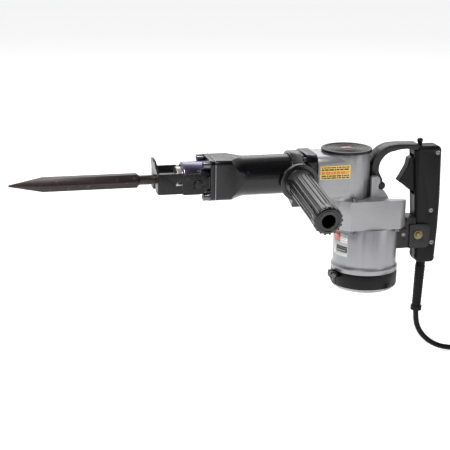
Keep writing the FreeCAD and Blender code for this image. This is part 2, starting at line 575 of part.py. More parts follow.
def make_motor_case():
    """Cast motor housing with a flared foot, a clamped rubber band and an end cover."""
    inner = "motor_r - motor_wall"
    shell = turned("motor_shell", [
        ("motor_top_z", inner), ("motor_top_z", "motor_r"), ("flare_top_z", "motor_r"),
        ("flare_top_z - 4", "motor_r + 0.8", "flare_top_z - 7", "motor_foot_r"),
                                   ("band_top_z", "motor_foot_r"),
        ("band_top_z", "band_r"), ("band_bottom_z", "band_r"), ("band_bottom_z", inner),
    ], "z", x="motor_x")
    ring = drum("band_ring", "motor_foot_r", "band_bottom_z", "band_top_z", "z", x="motor_x")
    lug = block("band_lug", ("band_screw_x - 4", "band_screw_x + 8"), ("-22", "-6"),
                ("band_screw_z - 5", "band_screw_z + 5"))
    inside = drum("band_inside", "band_r", "-300", "0", "z", x="motor_x")
    split = block("band_split", ("band_screw_x - 10", "band_screw_x + 12"), ("-14.6", "-13.4"),
                  ("-300", "-100"))
    hole = drum("band_hole", "2", "-30", "10", "y", x="band_screw_x", z="band_screw_z")
    keep("motor_band", cut("band", join("band_solid", ring, lug), inside, split, hole))
    head = drum("band_screw_head", "4", "-26", "-22", "y", x="band_screw_x", z="band_screw_z")
    shank = drum("band_screw_shank", "2", "-22", "-7", "y", x="band_screw_x", z="band_screw_z")
    keep("band_screw", join("band_screw_body", head, shank))
    cover = turned("end_cover", [
        ("band_bottom_z", "0"), ("band_bottom_z", "motor_foot_r - 0.8"),
                                 ("band_bottom_z - 3", "motor_foot_r - 1.6"),
        ("motor_bottom_z", "motor_foot_r - 6"), ("motor_bottom_z", "0"),
    ], "z", x="motor_x")
    holes = [drum("lower_race_seat", "11", "band_bottom_z - 3", "band_bottom_z + 1", "z", x="motor_x")]
    for i in range(12):
        turn = f"{30 * i + 15} deg"
        holes.append(drum(f"vent_{i}", "3", "motor_bottom_z - 1", "band_bottom_z + 1", "z",
                          f"motor_x + 26 * cos({turn})", f"26 * sin({turn})"))
    screws, bosses, ways = [], [], []
    for i in range(4):
        x, y = f"motor_x + cover_screw_r * cos({90 * i + 45} deg)", f"cover_screw_r * sin({90 * i + 45} deg)"
        shank = drum(f"cover_screw_shank_{i}", "2", "motor_bottom_z + 2.4", "band_bottom_z + 9", "z", x, y)
        head = drum(f"cover_screw_head_{i}", "3.5", "motor_bottom_z + 0.4", "motor_bottom_z + 2.4", "z", x,
                    y)
        screws.append(join(f"cover_screw_{i}", shank, head))
        bosses.append(drum(f"cover_boss_{i}", "4", "band_bottom_z", "band_bottom_z + 12", "z", x, y))
        ways.append(drum(f"cover_boss_way_{i}", "2", "band_bottom_z - 1", "band_bottom_z + 9", "z", x, y))
        holes.append(drum(f"cover_screw_well_{i}", "3.5", "motor_bottom_z - 1", "motor_bottom_z + 2.4",
                          "z", x, y))
        holes.append(drum(f"cover_screw_way_{i}", "2", "motor_bottom_z", "band_bottom_z + 1", "z", x, y))
    keep("motor_housing", cut("motor_cast", join("motor_solid", shell, *bosses), *ways))
    keep("motor_end_cover", cut("cover_bored", cover, *holes))
    keep("end_cover_screws", join("cover_screws", *screws))


def make_motor():
    """Series motor: laminated stator and rotor, commutator, brushes, fan and two bearings."""
    keep("stator", cut("stator_stack", drum("stator_outer", "motor_r - motor_wall", "-150", "-106", "z",
                                            x="motor_x"),
                       drum("stator_gap", "29.5", "-153", "-105", "z", x="motor_x")))
    shaft = drum("rotor_shaft", "5", "-187", "-24", "z", x="motor_x")
    pinion = make_gear("pinion_blank", SIZES["pinion_teeth"], math.pi / SIZES["pinion_teeth"])
    keep("armature_shaft", join("rotor", shaft, put(pinion, "motor_x", 0, "gear_bottom_z")))

    def sleeve(name, outer, hole, low, high):
        return cut(name, drum(name + "_outer", outer, low, high, "z", x="motor_x"),
                   drum(name + "_hole", hole, f"{low} - 1", f"{high} + 1", "z", x="motor_x"))

    keep("armature_core", sleeve("rotor_core", "29", "5", "-149", "-108"))
    keep("commutator", sleeve("collector", "14", "5", "-172", "-157"))
    hub = drum("fan_hub", "11", "-103", "-93.5", "z", x="motor_x")
    plate = drum("fan_plate", "43", "-95", "-93.5", "z", x="motor_x")
    blades = []
    for i in range(12):
        blade = block(f"fan_blade_{i}", ("0", "32"), ("0", "1.6"), ("0", "9"))
        blades.append(put(blade, f"motor_x + 10 * cos({30 * i} deg)", f"10 * sin({30 * i} deg)", "-103",
                          turn=Rotation(Vector(0, 0, 1), 30 * i)))
    bore = drum("fan_bore", "5", "-110", "-80", "z", x="motor_x")
    keep("cooling_fan", cut("fan", join("fan_solid", hub, plate, *blades), bore))
    keep("motor_bearings", join("races", sleeve("upper_race", "13", "5.05", "-62", "-52"),
                                sleeve("lower_race", "11", "5.05", "-191.5", "-178")))
    brushes, holders = [], []
    for side in (1, -1):
        brush = block(f"brush_{side + 1}", ("motor_x - 3", "motor_x + 3"),
                      ("14.1", "34") if side > 0 else ("-34", "-14.1"), ("-169", "-160"))
        case = block(f"brush_case_{side + 1}", ("motor_x - 6", "motor_x + 6"),
                     ("20", "47.6") if side > 0 else ("-47.6", "-20"), ("-172", "-157"))
        way = block(f"brush_way_{side + 1}", ("motor_x - 3", "motor_x + 3"), ("-40", "40"),
                    ("-169", "-160"))
        brushes.append(brush)
        holders.append(cut(f"brush_holder_{side + 1}", case, way))
    keep("carbon_brushes", join("brush_pair", *brushes))
    keep("brush_holders", join("holder_pair", *holders))


# ---------------------------------------------------------------- rear handle


GRIP_SIDE = [
    ("130", "grip_bottom_z"), ("124.5", "grip_bottom_z + 3.5", "122", "grip_bottom_z + 15"),
             ("118.5", "-80"),
    ("116.5", "-45"), ("111.5", "grip_top_z"), ("150", "grip_top_z"),
    ("156.5", "grip_top_z - 2.5", "159", "grip_top_z - 10"), ("160.5", "-50"), ("159.3", "-101"),
    ("156.4", "grip_bottom_z + 10"), ("155", "grip_bottom_z + 2.5", "148", "grip_bottom_z"),
]
GRIP_SCREWS = [("151.5", "27"), ("149", "-125"), ("145", "-70")]


def make_rear_grip():
    """Rear handle moulded in two halves that close round the switch."""
    full = padded("grip_bar", "XZ_Plane", GRIP_SIDE, "2 * grip_half_y")
    shape = rounded("grip_round", full, 6, lambda e: abs(e.CenterOfMass.y) > number("grip_half_y") - 0.01)
    tools = [
        block("arch_seat", ("100", "119.5"), ("-30", "30"), ("31", "60")),
        block("grip_cavity", ("128", "145"), ("-12", "12"), ("-60", "30")),
        block("trigger_well", ("100", "133"), ("-trigger_half_y - 0.4", "trigger_half_y + 0.4"),
              ("-44", "24")),
        drum("button_way", "3.55", "20", "60", "z", x="button_x"),
        drum("bush_way", "8", "-40", "40", "y", x="damper_x", z="damper_z"),
        drum("guard_way", "8.4", "grip_bottom_z - 1", "grip_bottom_z + 14", "z", x="guard_top_x"),
        drum("wire_way", "5", "grip_bottom_z + 10", "-55", "z", x="guard_top_x"),
    ]
    screws = []
    for i, (x, z) in enumerate(GRIP_SCREWS):
        tools.append(drum(f"grip_screw_way_{i}", "2", "-12", "12", "y", x=x, z=z))
        tools.append(drum(f"grip_screw_well_{i}", "4", "-40", "-12", "y", x=x, z=z))
        shank = drum(f"grip_screw_shank_{i}", "2", "-12", "12", "y", x=x, z=z)
        head = drum(f"grip_screw_head_{i}", "3.9", "-15.6", "-12", "y", x=x, z=z)
        slot = block(f"grip_screw_slot_{i}", (f"{x} - 3", f"{x} + 3"), ("-17", "-14.4"),
                     (f"{z} - 0.6", f"{z} + 0.6"))
        screws.append(cut(f"grip_screw_{i}", join(f"grip_screw_body_{i}", shank, head), slot))
    hollow = cut("grip_shells", shape, *tools)
    near = block("near_half", ("90", "180"), ("-40", "0"), ("-200", "60"))
    far = block("far_half", ("90", "180"), ("0", "40"), ("-200", "60"))
    keep("grip_left", overlap("grip_near_half", hollow, near))
    keep("grip_right", overlap("grip_far_half", hollow, far))
    keep("grip_screws", join("grip_screw_set", *screws))


def make_trigger():
    """Hinged trigger, the switch behind it with the trigger's pin, and the button that locks it."""
    blade = padded("trigger_blade", "XZ_Plane", [
        ("112", "20"), ("105.5", "17.5"), ("103", "5"), ("94", "-11.6"), ("88.6", "-19.8"),
                                                 ("94.5", "-24.2"),
        ("103.5", "-30.6"), ("109", "-35.9"), ("119", "-38.5"), ("124", "-20"), ("127", "12"),
                                                 ("124", "19"),
    ], "2 * trigger_half_y")
    soft = rounded("trigger_round", blade, 1.6,
                   lambda e: abs(e.CenterOfMass.y) > number("trigger_half_y") - 0.01)
    eye = drum("trigger_eye", "2.05", "-20", "20", "y", x="trigger_pivot_x", z="trigger_pivot_z")
    keep("trigger", cut("trigger_lever", soft, eye))
    switch = block("switch_box", ("133", "144.8"), ("-10", "10"), ("-55", "10"))
    pin = drum("trigger_pin", "2", "-9.4", "9.4", "y", x="trigger_pivot_x", z="trigger_pivot_z")
    keep("switch_body", join("switch", switch, pin))
    stem = drum("button_stem", "3.5", "28", "43.5", "z", x="button_x")
    head = drum("button_head", "4.6", "43", "47.5", "z", x="button_x")
    crown = cone("button_crown", "4.6", "3.2", "47.5", "49", "z", x="button_x")
    keep("lock_button", join("button", stem, head, crown))


def make_arch():
    """Cast arch from between the ears of the gear housing to the top of the grip."""
    side = padded("arch_bar", "XZ_Plane", [
        ("40", "-14"), ("47.5", "-14"), ("47.5", "-24"), ("53.5", "-29", "60", "-24"), ("58", "-13"),
                                           ("52", "-1"),
        ("56", "18.5", "72", "31"), ("87", "34.2"), ("98", "35"), ("119.3", "31.2"), ("119.3", "41.5"),
        ("88", "42.6"), ("76", "42"), ("54", "34", "40", "10"),
    ], "2 * arch_half_y")
    keep("handle_arch", cut("arch", side, drum("arch_bolt_way", "3.5", "-40", "40", "y", x="lug_x",
                                               z="lug_z")))
    shank = drum("arch_bolt_shank", "3.5", "-20", "20", "y", x="lug_x", z="lug_z")
    near = drum("arch_bolt_head", "6.5", "-23", "-14.2", "y", x="lug_x", z="lug_z")
    far = drum("arch_bolt_nut", "6.5", "14.2", "20", "y", x="lug_x", z="lug_z")
    keep("arch_bolt", join("arch_bolt_set", shank, near, far))


def make_bracket():
    """Cast lower bracket: a saddle on the motor housing, and two cheeks that hold the grip's lower
    end by a bolt through a rubber bush."""
    saddle = block("bracket_saddle", ("84", "124"), ("-grip_half_y", "grip_half_y"),
                   ("bracket_bottom_z", "bracket_top_z"))
    riser = block("bracket_riser", ("103", "124"), ("-grip_half_y", "grip_half_y"),
                  ("bracket_top_z - 1", "bracket_top_z + 19"))
    cheeks = rounded("bracket_cheeks", block("bracket_cheek_block", ("108", "143"),
                                             ("-cheek_half_y", "cheek_half_y"),
                                             ("bracket_bottom_z", "bracket_top_z + 8")), 8,
                     lambda e: runs_along("y")(e) and e.CenterOfMass.x > 120)
    ways = [
        drum("bracket_motor_way", "motor_r", "-200", "0", "z", x="motor_x"),
        padded("bracket_grip_way", "XZ_Plane", GRIP_SIDE, "2 * grip_half_y + 0.1"),
        drum("bracket_bolt_way", "4", "-40", "40", "y", x="damper_x", z="damper_z"),
        drum("bracket_bush_way", "8", "-grip_half_y", "grip_half_y", "y", x="damper_x", z="damper_z"),
    ]
    screws = []
    for i, side in enumerate((-1, 1)):
        spans = []
        for low, high in ((4, 13), (13, 16)):
            spans.append((str(low), str(high)) if side > 0 else (str(-high), str(-low)))
        for kind, radius, (low, high) in (("shank", "2", spans[0]), ("head", "3.6", spans[1])):
            ways.append(drum(f"bracket_{kind}_way_{i}", radius, low, high, "y", x="98.8", z="-108.9"))
            screws.append(drum(f"bracket_{kind}_{i}", radius, low, high, "y", x="98.8", z="-108.9"))
    keep("lower_bracket", cut("bracket", join("bracket_solid", saddle, riser, cheeks), *ways))
    keep("bracket_screws", join("bracket_screw_set", *screws))
    head = hexagon("damper_head", "9", "-24", "-cheek_half_y - 0.8", "y", x="damper_x", z="damper_z")
    washer = drum("damper_washer", "7.4", "-cheek_half_y - 0.8", "-cheek_half_y", "y", x="damper_x",
                  z="damper_z")
    shank = drum("damper_shank", "4", "-cheek_half_y", "cheek_half_y + 0.2", "y", x="damper_x",
                 z="damper_z")
    nut = hexagon("damper_nut", "9", "cheek_half_y", "cheek_half_y + 4", "y", x="damper_x", z="damper_z")
    keep("damper_bolt", join("damper_set", head, washer, shank, nut))
    keep("damper_bush", cut("bush", drum("bush_outer", "8", "-grip_half_y", "grip_half_y", "y",
                                         x="damper_x", z="damper_z"),
                            drum("bush_inner", "4", "-20", "20", "y", x="damper_x", z="damper_z")))


# ---------------------------------------------------------------- side handle


def make_side_handle():
    """Clamp round the barrel, and a rubber grip screwed into its side. Both tip down a little."""
    tip = Rotation(Vector(1, 0, 0), SIZES["side_turn"])
    front, back = "side_x - side_width / 2", "side_x + side_width / 2"
    ring = drum("clamp_ring", "clamp_r", front, back, "x")
    pad = padded("clamp_pad", "YZ_Plane", [
        ("0", "-clamp_r + 2"), ("0", "clamp_r - 2"), ("-10", "35.6"), ("pad_y", "pad_top_z"),
        ("pad_y", "pad_bottom_z"), ("-8", "-37.5"),
    ], "side_width")
    put(pad, x="side_x")
    bore = drum("clamp_bore", "barrel_r + 0.05", f"{front} - 1", f"{back} + 1", "x")
    tapped = drum("clamp_tapped", "4", "pad_y - 1", "-34", "y", x="side_x")
    clamp = cut("clamp", join("clamp_solid", ring, pad), bore, tapped)
    flange = rounded("flange_soft", drum("flange_disc", "grip_flange_r", "grip_root_y", "pad_y", "y",
                                         x="side_x"), 1.2,
                     lambda e: e.CenterOfMass.y < number("pad_y") - 1)
    washer = cut("flange_washer", flange, drum("flange_hole", "5.05", "grip_root_y - 1", "pad_y + 1", "y",
                                               x="side_x"))
    collar = drum("stud_collar", "5", "grip_root_y - 30", "pad_y", "y", x="side_x")
    stud = join("stud", collar, drum("stud_end", "4", "pad_y", "-34", "y", x="side_x"))
    body = doc.addObject("PartDesign::Body", "grip_rubber")
    sketch = outline(body, "XY_Plane", [
        ("5.05", "grip_root_y - 0.05"), ("grip_flange_r - 6", "grip_root_y - 0.05"),
        ("grip_r + 3", "grip_root_y - 4", "grip_r", "grip_root_y - 12"), ("grip_r", "grip_end_y + 26"),
        ("grip_r + grip_lip", "grip_end_y + 12"), ("grip_r + grip_lip", "grip_end_y + 5"),
        ("grip_r + grip_lip - 1.5", "grip_end_y + 1.5", "grip_r + grip_lip - 5", "grip_end_y"),
        ("grip_hole_r", "grip_end_y"),
        ("grip_hole_r", "grip_end_y + 75"), ("5.05", "grip_end_y + 75"),
    ])
    spin = body.newObject("PartDesign::Revolution", "grip_spin")
    spin.Profile = sketch
    spin.ReferenceAxis = (sketch, ["V_Axis"])
    spin.Angle = 360
    put(body, x="side_x")
    # the grip's outline was drawn about the side handle's own axis, so it tips about the barrel
    for label, thing in (("side_handle_clamp", clamp), ("grip_flange", washer), ("clamp_stud", stud)):
        thing.Placement.Rotation = tip
        keep(label, thing)
    body.Placement.Rotation = tip
    keep("side_grip", body)


# ---------------------------------------------------------------- cord


def make_cord():
    """Mains cord: guard, tube to the floor, a solid in place of the coil, its tie, and the plug."""
    lean = Rotation(Vector(0, 1, 0), 2.6)
    long = "grip_bottom_z - guard_end_z"
    guard = cone("guard_cone", "7.4", "8.3", "0", f"{long} - 8", "z")
    bead = drum("guard_bead", "9.3", "-8", "0", "z")
    neck = drum("guard_neck", "7.8", f"{long} - 9", f"{long} + 12", "z")
    way = drum("guard_hole", "4.6", "-9", f"{long} + 13", "z")
    sleeve = cut("guard", join("guard_solid", guard, bead, neck), way)
    sleeve.Placement.Rotation = lean
    put(sleeve, "guard_end_x", 0, "guard_end_z")
    keep("cord_guard", sleeve)
    tube, radii = rounded_tube([Vector(*map(number, place)) for place in CORD_ROUTE], SIZES["cord_r"])
    cord = doc.addObject("Part::Feature", "cord_tube")
    cord.Shape = tube
    keep("power_cord", cord)
    heights = ("floor_z", "floor_z + coil_high")
    ring = drum("coil_drum", "coil_outer_r", *heights, "z", "coil_x", "coil_y")
    eye = drum("coil_eye", "coil_inner_r", "floor_z - 1", "floor_z + coil_high + 1", "z", "coil_x",
               "coil_y")
    keep("cord_coil", cut("coil", ring, eye, strap("coil_strap_way")))
    keep("coil_tie", strap("coil_strap"))
    at = {"x": "plug_x", "z": "floor_z + 17.5"}
    body = drum("plug_body", "17.5", "plug_tip_y - 70", "plug_tip_y - 36", "y", **at)
    soft = rounded("plug_soft", body, 4, lambda e: e.CenterOfMass.y > number("plug_tip_y - 40"))
    neck = cone("plug_neck", "9", "5.2", "plug_tip_y - 36.5", "plug_tip_y", "y", **at)
    keep("mains_plug", join("plug", soft, neck))
    pins = [drum(f"plug_pin_{i}", "2.4", "plug_tip_y - 89", "plug_tip_y - 70", "y", f"plug_x + ({aside})",
                 0, at["z"])
            for i, aside in enumerate((-9.5, 9.5))]
    keep("plug_pins", join("plug_pin_pair", *pins))
    return radii


def strap(name):
    """Strap round one side of the coil."""
    middle = "coil_y - (coil_outer_r + coil_inner_r) / 2"
    half = "(coil_outer_r - coil_inner_r) / 2"
    outer = block(name + "_outer", ("coil_x - 6", "coil_x + 6"),
                  (f"{middle} - {half} - 0.8", f"{middle} + {half} + 1.2"),
                  ("floor_z", "floor_z + coil_high + 1.2"))
    inner = block(name + "_inner", ("coil_x - 7", "coil_x + 7"),
                  (f"{middle} - {half} + 0.4", f"{middle} + {half}"),
                  ("floor_z + 1.2", "floor_z + coil_high"))
    return cut(name, outer, inner)


CORD_ROUTE = [
    ("guard_end_x", "0", "guard_end_z"),
    ("133", "0", "-267"),
    ("146", "-3", "-294"),
    ("170", "-8", "-312"),
    ("201", "-13", "floor_z + cord_r"),
    ("236", "-14.5", "floor_z + cord_r"),
]


def rounded_tube(points, radius):
    """A tube along straight runs joined by tangent arcs, and the radii of those arcs."""
    edges, radii = [], []
    start = points[0]
    for before, corner, after in zip(points, points[1:], points[2:]):
        into, out = corner - before, after - corner
        half_turn = into.getAngle(out) / 2
        reach = 0.45 * min(into.Length, out.Length)
        bend = reach / math.tan(half_turn)
        into.normalize()
        out.normalize()
        inwards = (out - into).normalize()
        first, last = corner - into * reach, corner + out * reach
        middle = corner + inwards * (bend / math.cos(half_turn) - bend)
        edges += [Part.LineSegment(start, first).toShape(), Part.Arc(first, middle, last).toShape()]
        radii.append(bend)
        start = last
    edges.append(Part.LineSegment(start, points[-1]).toShape())
    path = Part.Wire(edges)
    section = Part.Wire(Part.Circle(points[0], points[1] - points[0], radius).toShape())
    tube = path.makePipeShell([section], True, False)
    print("cord: length", round(path.Length, 1), "volume ratio",
          round(tube.Volume / (math.pi * radius ** 2 * path.Length), 4))
    return tube, radii


# ---------------------------------------------------------------- build, check and write


def main():
    make_chisel()
    make_stirrup()
    make_nose()
    make_front_cover()
    make_barrel()
    make_hammer_train()
    make_crank()
    make_crank_housing()
    make_gear_housing()
    make_motor_case()
    make_motor()
    make_rear_grip()
    make_trigger()
    make_arch()
    make_bracket()
    make_side_handle()
    radii = make_cord()
    doc.recompute()
    print("cord: bend radii", [round(radius) for radius in radii])
    faults = [thing.Name for thing in doc.Objects if "Invalid" in thing.State or "Error" in thing.State]
    for label, thing in nodes.items():
        if thing.Shape.isNull() or not thing.Shape.isValid() or thing.Shape.Volume < 1:
            faults.append(label)
    if faults:
        raise RuntimeError("broken objects: " + ", ".join(faults))
    os.makedirs("parts", exist_ok=True)
    for label, thing in nodes.items():
        thing.Shape.exportStep(f"parts/{label}.step")
    print(len(nodes), "sub-parts written")


main()
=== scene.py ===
import math

import bmesh
import bpy
from mathutils import Matrix, Vector


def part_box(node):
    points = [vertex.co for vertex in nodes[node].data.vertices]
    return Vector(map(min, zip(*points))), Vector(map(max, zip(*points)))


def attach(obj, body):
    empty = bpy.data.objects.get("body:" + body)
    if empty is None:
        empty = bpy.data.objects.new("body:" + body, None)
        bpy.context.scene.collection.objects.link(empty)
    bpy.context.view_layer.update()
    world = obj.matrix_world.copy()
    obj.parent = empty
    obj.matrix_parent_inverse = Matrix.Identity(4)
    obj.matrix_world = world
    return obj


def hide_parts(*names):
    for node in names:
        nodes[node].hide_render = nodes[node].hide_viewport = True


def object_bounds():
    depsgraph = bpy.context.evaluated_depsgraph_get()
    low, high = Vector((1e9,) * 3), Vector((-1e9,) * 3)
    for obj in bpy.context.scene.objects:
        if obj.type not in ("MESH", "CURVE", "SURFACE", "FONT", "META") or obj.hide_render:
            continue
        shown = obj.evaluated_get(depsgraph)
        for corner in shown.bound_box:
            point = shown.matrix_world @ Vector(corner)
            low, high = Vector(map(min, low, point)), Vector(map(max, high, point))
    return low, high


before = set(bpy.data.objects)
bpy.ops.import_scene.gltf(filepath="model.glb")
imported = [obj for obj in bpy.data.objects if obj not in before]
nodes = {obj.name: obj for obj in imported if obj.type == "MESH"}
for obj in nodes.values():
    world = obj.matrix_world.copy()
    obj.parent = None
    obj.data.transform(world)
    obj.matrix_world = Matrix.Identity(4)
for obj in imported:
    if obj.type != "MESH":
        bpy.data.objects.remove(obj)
cad_low, cad_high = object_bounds()


# ---------------------------------------------------------------- camera, floor and light
# A pale floor just under the lowest turn of the cord, a soft lamp high on the left, weaker ones
# on the right and behind, and a bright room that is darker high behind the camera.

scene = bpy.context.scene
camera_data = bpy.data.cameras.new("camera")
camera_data.lens = 103.4
camera_data.sensor_width = 36
camera_data.clip_end = 50
camera = bpy.data.objects.new("camera", camera_data)
turn = (Matrix.Rotation(math.radians(-13.56), 4, "Z")
        @ Matrix.Rotation(math.radians(90 - 15.98), 4, "X"))
roll = Matrix.Rotation(math.radians(0.65), 4, "Z")
camera.matrix_world = Matrix.Translation((-0.8037, -1.9317, 0.5497)) @ turn @ roll
scene.collection.objects.link(camera)
scene.camera = camera
scene.view_settings.view_transform = "Standard"

floor_mesh = bpy.data.meshes.new("floor")
floor_height = cad_low[2] - 0.0005
floor_corners = [(x, y, floor_height) for x, y in ((-9, -9), (9, -9), (9, 9), (-9, 9))]
floor_mesh.from_pydata(floor_corners, [], [(0, 1, 2, 3)])
floor = bpy.data.objects.new("floor", floor_mesh)
scene.collection.objects.link(floor)
floor_paint = bpy.data.materials.new("pale_floor")
floor_paint.use_nodes = True
floor_shader = floor_paint.node_tree.nodes["Principled BSDF"]
floor_shader.inputs["Base Color"].default_value = (0.93, 0.93, 0.93, 1)
floor_shader.inputs["Roughness"].default_value = 0.9
floor_shader.inputs["Specular IOR Level"].default_value = 0.1
floor_shader.inputs["Emission Color"].default_value = (1, 1, 1, 1)
floor_shader.inputs["Emission Strength"].default_value = 0.5
floor_mesh.materials.append(floor_paint)

world = bpy.data.worlds.new("bright_room")
world.use_nodes = True
scene.world = world
sky = world.node_tree
direction = sky.nodes.new("ShaderNodeTexCoord")
split = sky.nodes.new("ShaderNodeSeparateXYZ")
sky.links.new(direction.outputs["Generated"], split.inputs[0])
ramp = sky.nodes.new("ShaderNodeValToRGB")
ramp.color_ramp.elements[0].position = 0.42
ramp.color_ramp.elements[0].color = (0.035, 0.036, 0.040, 1)
ramp.color_ramp.elements[1].position = 0.80
ramp.color_ramp.elements[1].color = (1.0, 1.0, 1.0, 1)
back_to_front = sky.nodes.new("ShaderNodeMapRange")
back_to_front.inputs["From Min"].default_value = -1.0
back_to_front.inputs["From Max"].default_value = 1.0
sky.links.new(split.outputs["Y"], back_to_front.inputs["Value"])
near_floor = sky.nodes.new("ShaderNodeMapRange")
near_floor.inputs["From Min"].default_value = 0.16
near_floor.inputs["From Max"].default_value = 0.40
near_floor.inputs["To Min"].default_value = 0.60
near_floor.inputs["To Max"].default_value = 0.0
sky.links.new(split.outputs["Z"], near_floor.inputs["Value"])
bright_part = sky.nodes.new("ShaderNodeMath")
bright_part.operation = "MAXIMUM"
sky.links.new(back_to_front.outputs[0], bright_part.inputs[0])
sky.links.new(near_floor.outputs[0], bright_part.inputs[1])
sky.links.new(bright_part.outputs[0], ramp.inputs[0])
sky.links.new(ramp.outputs[0], sky.nodes["Background"].inputs["Color"])
sky.nodes["Background"].inputs["Strength"].default_value = 1.0

for name, place, size, power in (
    ("high_left", (-1.3, -1.0, 2.2), 0.5, 58),
    ("front_right", (1.6, -2.0, 0.5), 0.6, 5),
    ("behind", (0.2, 2.2, 1.8), 1.6, 18),
):
    lamp_data = bpy.data.lights.new(name, "AREA")
    lamp_data.size = size
    lamp_data.energy = power
    lamp = bpy.data.objects.new(name, lamp_data)
    lamp.location = place
    lamp.rotation_euler = (Vector(place) - Vector((-0.1, 0, 0))).to_track_quat("Z", "Y").to_euler()
    scene.collection.objects.link(lamp)


# ---------------------------------------------------------------- mains cord
# Black rubber-sheathed cord, 9 mm thick and 5 m long. It drops out of its guard to the floor,
# where the rest is wound in four layers, held by a strap, and ends in a moulded two-pin plug.


# The chisel's axis meets the crankshaft's axis at one point. The cover over the crank and the
# chisel's guide give its place, and sizes in millimetres are laid out from there.
cap_low, cap_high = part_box("crank_cap")
guide_low, guide_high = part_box("tool_bushing")
CRANK = Vector(((cap_low[0] + cap_high[0]) / 2, 0, (guide_low[2] + guide_high[2]) / 2))


def at(x, y, z):
    """A place in millimetres from the crank, as a place in the frame."""
    return CRANK + Vector((x, y, z)) / 1000


def wire(nodes_of, kind, **values):
    """A shader node with its sockets set by name."""
    node = nodes_of.new(kind)
    for name, value in values.items():
        node.inputs[name.replace("_", " ")].default_value = value
    return node


def finish(name, colour, rough, metal=0.0, shine=0.5, grain=700, relief=0.2, mottle=0.10,
           wear=0.0, worn=(0.5, 0.5, 0.5), patch=30):
    """A finish with uneven colour, relief and gloss, and rubbed patches where wear is above 0."""
    paint = bpy.data.materials.new(name)
    paint.use_nodes = True
    tree = paint.node_tree
    shader = tree.nodes["Principled BSDF"]
    shader.inputs["Metallic"].default_value = metal
    shader.inputs["Specular IOR Level"].default_value = shine
    place = tree.nodes.new("ShaderNodeTexCoord")
    cloud = wire(tree.nodes, "ShaderNodeTexNoise", Scale=patch, Detail=6.0, Roughness=0.6)
    fine = wire(tree.nodes, "ShaderNodeTexNoise", Scale=grain, Detail=3.0, Roughness=0.65)
    tree.links.new(place.outputs["Object"], cloud.inputs["Vector"])
    tree.links.new(place.outputs["Object"], fine.inputs["Vector"])
    shade = tree.nodes.new("ShaderNodeValToRGB")
    shade.color_ramp.elements[0].position = 0.3
    shade.color_ramp.elements[0].color = (*(c * (1 - mottle) for c in colour), 1)
    shade.color_ramp.elements[1].position = 0.7
    shade.color_ramp.elements[1].color = (*(min(c * (1 + mottle), 1) for c in colour), 1)
    both = tree.nodes.new("ShaderNodeMath")
    both.operation = "ADD"
    half = tree.nodes.new("ShaderNodeMath")
    half.operation = "MULTIPLY"
    half.inputs[1].default_value = 0.5
    tree.links.new(cloud.outputs["Fac"], both.inputs[0])
    tree.links.new(fine.outputs["Fac"], both.inputs[1])
    tree.links.new(both.outputs[0], half.inputs[0])
    tree.links.new(half.outputs[0], shade.inputs["Fac"])
    last = shade.outputs["Color"]
    if wear > 0:
        rub = wire(tree.nodes, "ShaderNodeTexNoise", Scale=patch * 5, Detail=8.0, Roughness=0.7)
        tree.links.new(place.outputs["Object"], rub.inputs["Vector"])
        edge = wire(tree.nodes, "ShaderNodeMapRange", From_Min=0.66 - wear * 0.2,
                    From_Max=0.74 - wear * 0.1)
        tree.links.new(rub.outputs["Fac"], edge.inputs["Value"])
        mix = tree.nodes.new("ShaderNodeMix")
        mix.data_type = "RGBA"
        mix.inputs[7].default_value = (*worn, 1)
        tree.links.new(edge.outputs[0], mix.inputs[0])
        tree.links.new(last, mix.inputs[6])
        last = mix.outputs[2]
    tree.links.new(last, shader.inputs["Base Color"])
    gloss = wire(tree.nodes, "ShaderNodeMapRange", To_Min=rough - 0.07, To_Max=rough + 0.09)
    tree.links.new(cloud.outputs["Fac"], gloss.inputs["Value"])
    tree.links.new(gloss.outputs[0], shader.inputs["Roughness"])
    bump = wire(tree.nodes, "ShaderNodeBump", Strength=relief, Distance=0.0004)
    tree.links.new(fine.outputs["Fac"], bump.inputs["Height"])
    tree.links.new(bump.outputs["Normal"], shader.inputs["Normal"])
    return paint


SHARP = math.radians(32)
MERGE = 2e-6
FLAT = math.radians(0.6)


def skin(node, body, material, edge=0.0006):
    """A clean copy of a CAD piece in its finish: triangles merged, sharp edges softened."""
    mesh = nodes[node].data.copy()
    form = bmesh.new()
    form.from_mesh(mesh)
    bmesh.ops.remove_doubles(form, verts=form.verts, dist=MERGE)
    bmesh.ops.dissolve_limit(form, angle_limit=FLAT, verts=form.verts, edges=form.edges)
    form.to_mesh(mesh)
    form.free()
    mesh.materials.clear()
    mesh.materials.append(material)
    mesh.shade_smooth()
    piece = bpy.data.objects.new(node + "_finished", mesh)
    scene.collection.objects.link(piece)
    if edge:
        soften = piece.modifiers.new("soft_edges", "BEVEL")
        soften.width = edge
        soften.segments = 2
        soften.limit_method = "ANGLE"
        soften.angle_limit = SHARP
        soften.harden_normals = True
    else:
        mesh.set_sharp_from_angle(angle=SHARP)
    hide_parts(node)
    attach(piece, body)
    return piece


cord_rubber = finish("cord_rubber", (0.0028, 0.0028, 0.0032), 0.48, shine=0.2, grain=900,
                     relief=0.12, mottle=0.2)
pin_brass = finish("pin_brass", (0.75, 0.55, 0.28), 0.28, metal=1.0, grain=1500, relief=0.05)
strap_plastic = finish("strap_plastic", (0.02, 0.02, 0.021), 0.45, shine=0.35, grain=500,
                       relief=0.1)

